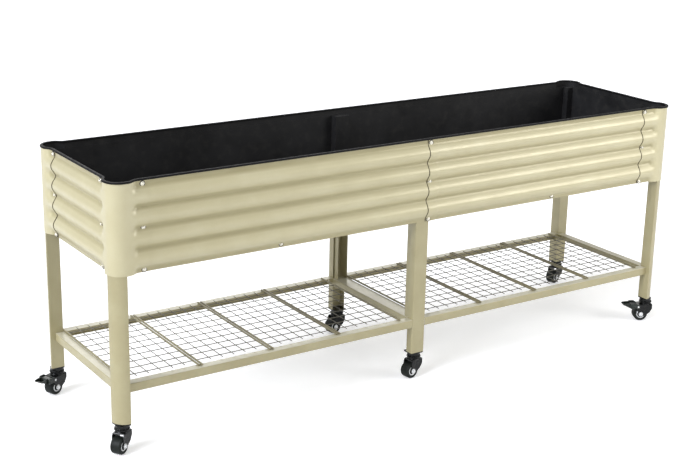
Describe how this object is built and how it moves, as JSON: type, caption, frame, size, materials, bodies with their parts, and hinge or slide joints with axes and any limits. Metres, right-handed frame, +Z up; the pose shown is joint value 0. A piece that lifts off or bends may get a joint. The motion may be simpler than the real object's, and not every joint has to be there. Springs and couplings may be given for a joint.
{
  "type": "rolling planter",
  "caption": "Long raised planter bed with corrugated steel walls on legs, with a wire mesh shelf below and swivel casters, some with brakes",
  "frame": {"origin": "middle of the planter, on the floor", "axes": "+Z up, X along the bed, the long front wall faces -Y"},
  "size_m": [2.0924, 0.522, 0.7647],
  "materials": {
    "panel_paint": "satin",
    "frame_paint": "satin",
    "wire_paint": "satin",
    "galvanised": "satin",
    "rubber_trim": "matte",
    "liner": "matte",
    "black_steel": "gloss",
    "tyre": "satin"
  },
  "bodies": {
    "planter": {"corner_panel_front_left": "panel_paint", "corner_panel_front_right": "panel_paint", "corner_panel_rear_left": "panel_paint", "corner_panel_rear_right": "panel_paint", "side_panel_front_left": "panel_paint", "side_panel_front_right": "panel_paint", "side_panel_rear_left": "panel_paint", "side_panel_rear_right": "panel_paint", "end_panel_left": "panel_paint", "end_panel_right": "panel_paint", "corner_leg_front_left": "frame_paint", "corner_leg_front_right": "frame_paint", "corner_leg_rear_left": "frame_paint", "corner_leg_rear_right": "frame_paint", "middle_leg_front": "frame_paint", "middle_leg_rear": "frame_paint", "middle_upright_front": "frame_paint", "middle_upright_rear": "frame_paint", "shelf_rail_front_left": "frame_paint", "shelf_rail_front_right": "frame_paint", "shelf_rail_rear_left": "frame_paint", "shelf_rail_rear_right": "frame_paint", "shelf_rail_left_end": "frame_paint", "shelf_rail_right_end": "frame_paint", "shelf_rail_middle": "frame_paint", "shelf_mesh_1": "wire_paint", "shelf_mesh_2": "wire_paint", "shelf_mesh_3": "wire_paint", "shelf_mesh_4": "wire_paint", "shelf_mesh_5": "wire_paint", "shelf_mesh_6": "wire_paint", "shelf_mesh_7": "wire_paint", "shelf_mesh_8": "wire_paint", "floor_beam_left": "galvanised", "floor_beam_middle": "galvanised", "floor_beam_right": "galvanised", "floor_tray_left": "galvanised", "floor_tray_right": "galvanised", "rim_trim": "rubber_trim", "bed_liner": "liner", "caster_head_front_left": "black_steel", "caster_head_front_middle": "black_steel", "caster_head_front_right": "black_steel", "caster_head_rear_left": "black_steel", "caster_head_rear_middle": "black_steel", "caster_head_rear_right": "black_steel"},
    "swivel_front_left": {"caster_fork_front_left": "black_steel"},
    "wheel_front_left": {"caster_wheel_front_left": "tyre"},
    "swivel_front_middle": {"caster_fork_front_middle": "black_steel"},
    "wheel_front_middle": {"caster_wheel_front_middle": "tyre"},
    "swivel_front_right": {"caster_fork_front_right": "black_steel"},
    "wheel_front_right": {"caster_wheel_front_right": "tyre"},
    "swivel_rear_left": {"caster_fork_rear_left": "black_steel"},
    "wheel_rear_left": {"caster_wheel_rear_left": "tyre"},
    "swivel_rear_middle": {"caster_fork_rear_middle": "black_steel"},
    "wheel_rear_middle": {"caster_wheel_rear_middle": "tyre"},
    "swivel_rear_right": {"caster_fork_rear_right": "black_steel"},
    "wheel_rear_right": {"caster_wheel_rear_right": "tyre"},
    "pedal_front_right": {"brake_pedal_front_right": "black_steel"},
    "pedal_rear_left": {"brake_pedal_rear_left": "black_steel"}
  },
  "joints": [
    {"name": "swivel_turn_front_left", "type": "hinge", "parent": "planter", "child": "swivel_front_left", "pos_m": [-0.966, -0.22568, 0.065], "axis": [0, 0, 1], "continuous": true},
    {"name": "swivel_turn_front_middle", "type": "hinge", "parent": "planter", "child": "swivel_front_middle", "pos_m": [0.0265, -0.21318, 0.065], "axis": [0, 0, 1], "continuous": true},
    {"name": "swivel_turn_front_right", "type": "hinge", "parent": "planter", "child": "swivel_front_right", "pos_m": [1.019, -0.22568, 0.065], "axis": [0, 0, 1], "continuous": true},
    {"name": "swivel_turn_rear_left", "type": "hinge", "parent": "planter", "child": "swivel_rear_left", "pos_m": [-0.966, 0.23532, 0.065], "axis": [0, 0, 1], "continuous": true},
    {"name": "swivel_turn_rear_middle", "type": "hinge", "parent": "planter", "child": "swivel_rear_middle", "pos_m": [0.0265, 0.22282, 0.065], "axis": [0, 0, 1], "continuous": true},
    {"name": "swivel_turn_rear_right", "type": "hinge", "parent": "planter", "child": "swivel_rear_right", "pos_m": [1.019, 0.23532, 0.065], "axis": [0, 0, 1], "continuous": true},
    {"name": "wheel_spin_front_left", "type": "hinge", "parent": "swivel_front_left", "child": "wheel_front_left", "pos_m": [-0.97992, -0.23544, 0.02452], "axis": [0.5736, -0.8192, 0], "continuous": true},
    {"name": "wheel_spin_front_middle", "type": "hinge", "parent": "swivel_front_middle", "child": "wheel_front_middle", "pos_m": [0.00971, -0.21584, 0.02452], "axis": [0.1564, -0.9877, 0], "continuous": true},
    {"name": "wheel_spin_front_right", "type": "hinge", "parent": "swivel_front_right", "child": "wheel_front_right", "pos_m": [1.00399, -0.2177, 0.02452], "axis": [-0.4695, -0.8829, 0], "continuous": true},
    {"name": "wheel_spin_rear_left", "type": "hinge", "parent": "swivel_rear_left", "child": "wheel_rear_left", "pos_m": [-0.9814, 0.22813, 0.02452], "axis": [0.4226, -0.9063, 0], "continuous": true},
    {"name": "wheel_spin_rear_middle", "type": "hinge", "parent": "swivel_rear_middle", "child": "wheel_rear_middle", "pos_m": [0.00957, 0.22133, 0.02452], "axis": [0.0872, -0.9962, 0], "continuous": true},
    {"name": "wheel_spin_rear_right", "type": "hinge", "parent": "swivel_rear_right", "child": "wheel_rear_right", "pos_m": [1.00258, 0.23092, 0.02452], "axis": [0.2588, -0.9659, 0], "continuous": true},
    {"name": "brake_press_front_right", "type": "hinge", "parent": "swivel_front_right", "child": "pedal_front_right", "pos_m": [0.99428, -0.21254, 0.052], "axis": [-0.4695, -0.8829, 0], "range_deg": [0, 20]},
    {"name": "brake_press_rear_left", "type": "hinge", "parent": "swivel_rear_left", "child": "pedal_rear_left", "pos_m": [-0.99137, 0.22348, 0.052], "axis": [0.4226, -0.9063, 0], "range_deg": [0, 20]}
  ]
}
